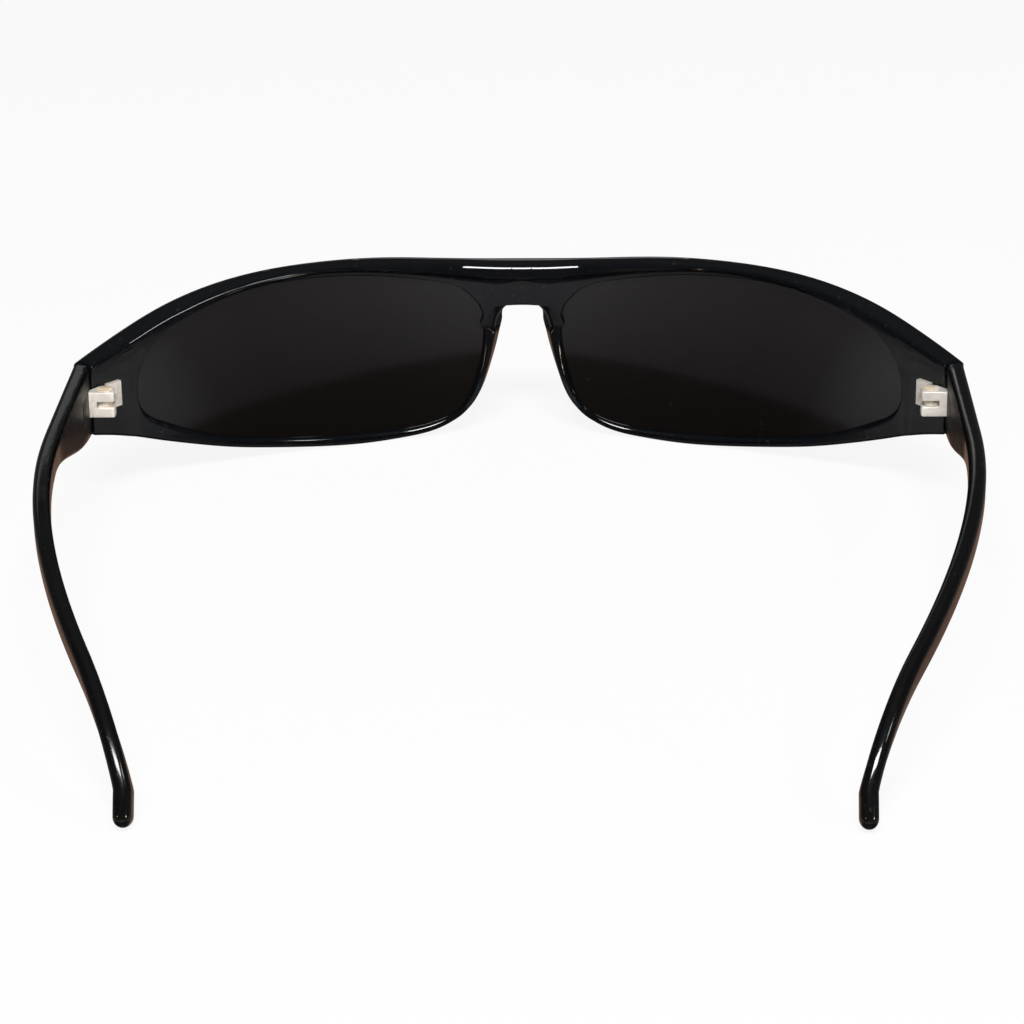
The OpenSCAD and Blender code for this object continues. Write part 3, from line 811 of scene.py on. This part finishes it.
def arm_section(way):
    """The oblong section: sharp corners at the seam, full round ones along the arm."""
    shrink = (way - 1) * path_length / tip_round + 1
    shrink = 1 if shrink <= 0 else math.sqrt(max(0, 1 - shrink * shrink))
    tall = half_tall(way)
    inset = max(0, seam_edge - way * path_length)
    inset = seam_edge - math.sqrt(max(0, seam_edge ** 2 - inset ** 2))
    tall -= inset
    thick = half_thick(way) / side_way(way).x - inset
    rounder = eased((way - rounder_from) / rounder_over)
    corner = mix(root_corner, arm_corner_share * half_thick(way), rounder)
    left = max(0, root_round - way * path_length)
    outer_share = 1 - (root_round - math.sqrt(root_round ** 2 - left ** 2)) / (2 * thick)
    places = []
    for quarter, (out, up) in enumerate(((1, 1), (-1, 1), (-1, -1), (1, -1))):
        for k in range(7):
            turn = math.radians(90 * quarter + 15 * k)
            across = out * (thick - corner) + corner * math.cos(turn)
            across = (across + thick) * outer_share - thick
            places.append((shrink * across, shrink * (up * (tall - corner) + corner * math.sin(turn))))
    return places


def level_at(way):
    """Height of the arm's middle before it slopes down: its top stays level with the front's."""
    return top_z - mix(half_tall(way), temple_height / 2, eased((way - tip_from) / tip_over))


# Rings stand close together at the edge by the seam, along the root and round the tip
ways = [seam_edge / path_length * (1 - math.cos(t)) for t in np.linspace(0, math.pi / 2, 6)]
ways += list(np.linspace(0.006, 0.06, 14)) + list(np.linspace(0.06, 0.985, 150))[1:]
ways += [1 - (tip_round / path_length) * (1 - math.sin(t)) for t in np.linspace(0, math.pi / 2, 9)]
ways = sorted(set(ways))


def arm_centre(way, drop):
    back = float(np.interp(way, fine, fine_back)) * path_length
    down = float(np.interp(way, fine, fine_down)) * path_length
    past = max(0, min(back, temple_length - tip_straight) - sweep_start)
    aside = past * past / (2 * sweep_radius)
    return Vector((middle_x - aside, start_y - back, level_at(way) - down * drop))


def arm_ring(way, drop):
    slope = slope_at(way)
    side = side_way(way)
    up = Vector((0, -math.sin(slope), math.cos(slope)))
    centre = arm_centre(way, drop)
    return [centre + side * out + up * high for out, high in arm_section(way)]


# The slope and the length are scaled until the arm touches the table and ends where the solid does
drop = 1.0
for _ in range(5):
    tip_places = [p for way in ways if way > tip_from for p in arm_ring(way, drop)]
    drop += min(p.z for p in tip_places) / (float(fine_down[-1]) * path_length)
    path_length *= (start_y - temple_low[1]) / (start_y - min(p.y for p in tip_places))
arm_rings = [arm_ring(way, drop) for way in ways]
middle = sum(arm_rings[0], Vector()) / len(arm_rings[0])
arm_rings = [[middle.lerp(p, share) for p in arm_rings[0]] for share in (0.0, 0.5, 0.85)] + arm_rings
temple_right = lofted("arm_moulding_right", arm_rings)
closed_up(temple_right, reach=2 * join_reach)

# Pocket for the plate of the temple leaf, a little larger than the plate
plate_low, plate_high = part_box("temple_leaf_right")
pocket_play = 0.06 * mm
pocket_before_screw = 0.2 * mm
cutter_out = 1 * mm
inside_x = outer_x - temple_thickness
bare_select()
bpy.ops.mesh.primitive_cube_add(size=1)
pocket = bpy.context.object
pocket_low = Vector((inside_x - cutter_out, plate_low[1] - pocket_play, plate_low[2] - pocket_play))
pocket_high = Vector((plate_high[0] + pocket_play, axis_right.y - pocket_before_screw + pocket_play,
                      plate_high[2] + pocket_play))
pocket.location = (pocket_low + pocket_high) / 2
pocket.scale = pocket_high - pocket_low
cut = temple_right.modifiers.new("pocket", "BOOLEAN")
cut.operation = "DIFFERENCE"
cut.object = pocket
bpy.context.view_layer.objects.active = temple_right
bpy.ops.object.modifier_apply(modifier=cut.name)
bpy.data.objects.remove(pocket)
bare_select()
temple_right.select_set(True)
bpy.ops.object.shade_smooth_by_angle(angle=smooth_angle)

# The inner face is matt round the hinge, to this far behind the screw and below the plate
matt_behind = 32 * mm
matt_below = 2.6 * mm
matt_into = 0.2 * mm
matt_corner = Vector((inside_x + matt_into, axis_right.y - matt_behind, plate_low[2] - matt_below))
moulded_black("temple_black", temple_right, (0.0030, 0.0032, 0.0034), 0.10, matt_corner)
temple_left = mirrored_copy(temple_right, "arm_moulding_left")
for piece, node in ((temple_right, "temple_right"), (temple_left, "temple_left")):
    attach(piece, node)
    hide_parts(node)

# Room: a white table under plain soft light. The gloss sees a pale table below and a dim room round
# it, with a lighter ceiling.
table_size = 6
bare_select()
bpy.ops.mesh.primitive_plane_add(size=table_size)
table = bpy.context.object
table.name = "table"
white = Finish("table_white")
seen = white.add("ShaderNodeLightPath", output="Is Camera Ray")
glossy = white.add("ShaderNodeLightPath", output="Is Glossy Ray")
going_through = white.add("ShaderNodeLightPath", output="Is Transmission Ray")
passed = white.add("ShaderNodeMath", {"operation": "MAXIMUM"}, {0: glossy, 1: going_through})
lit = white.add("ShaderNodeBsdfDiffuse", {}, {"Color": (0.85, 0.85, 0.85, 1)})
glow = white.add("ShaderNodeEmission", {}, {"Color": (1, 1, 1, 1), "Strength": 1.0})
shown = white.add("ShaderNodeMixShader", {}, {0: seen * 0.9, 1: lit, 2: glow})
clear = white.add("ShaderNodeBsdfTransparent")
through = white.add("ShaderNodeMixShader", {}, {0: passed, 1: shown, 2: clear})
white.done(through, table)


light_aim = Vector((0, 50, 20)) * mm


def soft_light(name, azimuth, elevation, far, width, height, glow, colour=(1, 1, 1)):
    """A flat light that faces the glasses, by its direction from them. The glow is how bright its
    face is, where 1 is white."""
    aside = math.radians(azimuth)
    high = math.radians(elevation)
    level = math.cos(high)
    place = Vector((math.sin(aside) * level, -math.cos(aside) * level, math.sin(high))) * far
    bare_select()
    bpy.ops.object.light_add(type="AREA", location=place + light_aim)
    lamp = bpy.context.object
    lamp.name = name
    lamp.data.shape = "RECTANGLE"
    lamp.data.size = width
    lamp.data.size_y = height
    lamp.data.energy = glow * math.pi * width * height
    lamp.data.color = colour
    lamp.rotation_euler = (-place).to_track_quat("-Z", "Y").to_euler()


warm = (1, 0.70, 0.38)
cold = (0.85, 0.94, 1)
soft_light("window_behind", 1, 50, 1.2, 0.52, 0.25, 36)
soft_light("window_right", 58, 42, 1.2, 0.16, 0.12, 20)
soft_light("low_window_right", 48, 6, 1.2, 0.07, 0.12, 50, cold)
soft_light("low_lamp_right", 44.5, 7, 1.2, 0.06, 0.12, 60, warm)
soft_light("low_lamp_middle", 37, 8, 1.2, 0.03, 0.12, 60, warm)
soft_light("low_lamp_left", -38, 8, 1.2, 0.03, 0.12, 60, warm)
soft_light("window_front", 181, 18, 1.5, 0.30, 0.16, 0.7)

# What the gloss sees by direction: behind the glasses the table from below and the dim room, ahead
# of them a brown floor and a pale wall on the left.
room = Finish("room", bpy.data.worlds)
to_x, to_y, to_z = room.axes(room.add("ShaderNodeTexCoord"))
aside = room.unsigned(to_x)


def sky(height, levels):
    """Brightness by height, from -1 straight below to 1 straight above."""
    return room.ramp(height * 0.5 + 0.5, [(at * 0.5 + 0.5, colour) for at, colour in levels])


behind = sky(to_z - 0.11 * aside,
             [(-1.0, 0.06), (-0.80, 0.10), (-0.70, 0.56), (-0.54, 0.50), (-0.375, 0.36),
              (-0.31, (0.30, 0.295, 0.29)), (-0.285, (0.11, 0.10, 0.09)), (-0.15, (0.075, 0.065, 0.055)),
              (0.25, 0.05), (0.5, 0.05), (0.95, 0.13)])
fading = room.ramp(aside, [(0.15, (1, 0.96, 1)), (0.45, (0.64, 0.61, 0.64)), (0.75, (0.46, 0.43, 0.44)),
                           (0.86, (0.50, 0.47, 0.48)), (0.93, 1.0)])
behind = room.mixed(1.0, behind, fading, "MULTIPLY")
ahead = sky(to_z, [(-0.85, 0.06), (-0.62, (0.28, 0.26, 0.24)), (-0.50, (0.25, 0.18, 0.14)),
                   (-0.42, (0.25, 0.15, 0.11)), (-0.33, (0.23, 0.14, 0.10)), (-0.27, 0.10),
                   (-0.12, 0.10), (0.0, 0.05), (0.5, 0.04), (0.95, 0.13)])
wall = sky(to_z, [(0.25, 0.0), (0.30, 0.36), (0.37, 0.40), (0.42, 0.03), (0.8, 0.0)])
beside = room.ramp(to_x * -1, [(0.0, 0.0), (0.04, 1.0), (0.45, 1.0), (0.55, 0.0)])
ahead = room.mixed(beside, ahead, wall, "LIGHTEN")
turned_ahead = room.ramp(to_y, [(0.45, 0.0), (0.65, 1.0)])
around = room.mixed(turned_ahead, behind, ahead)
dim = room.add("ShaderNodeBackground", {}, {"Color": around})
plain = room.add("ShaderNodeBackground", {}, {"Color": (1, 1, 1, 1)})
seen = room.add("ShaderNodeLightPath", output="Is Camera Ray")
shown = room.add("ShaderNodeMixShader", {}, {0: seen, 1: dim, 2: plain})
room.add("ShaderNodeOutputWorld", {}, {"Surface": shown})
bpy.context.scene.world = room.material

# Camera: the photograph was taken from behind and above, a little to the right of the middle.
camera_place = Vector((16.34, -483.74, 210.58)) * mm
azimuth = math.radians(1.9)
elevation = math.radians(22.02)
roll = math.radians(-0.72)
back = Vector((math.sin(azimuth) * math.cos(elevation), -math.cos(azimuth) * math.cos(elevation),
               math.sin(elevation)))
right = Vector((math.cos(azimuth), math.sin(azimuth), 0))
up = back.cross(right)
tilted_right = right * math.cos(roll) + up * math.sin(roll)
tilted_up = up * math.cos(roll) - right * math.sin(roll)
bare_select()
bpy.ops.object.camera_add()
camera = bpy.context.object
camera.name = "camera"
camera.data.sensor_width = 36
camera.data.lens = 122.62
camera.data.clip_start = 0.01
turned = Matrix((tilted_right, tilted_up, back)).transposed().to_4x4()
camera.matrix_world = Matrix.Translation(camera_place) @ turned
bpy.context.scene.camera = camera
bpy.context.scene.view_settings.view_transform = "Standard"
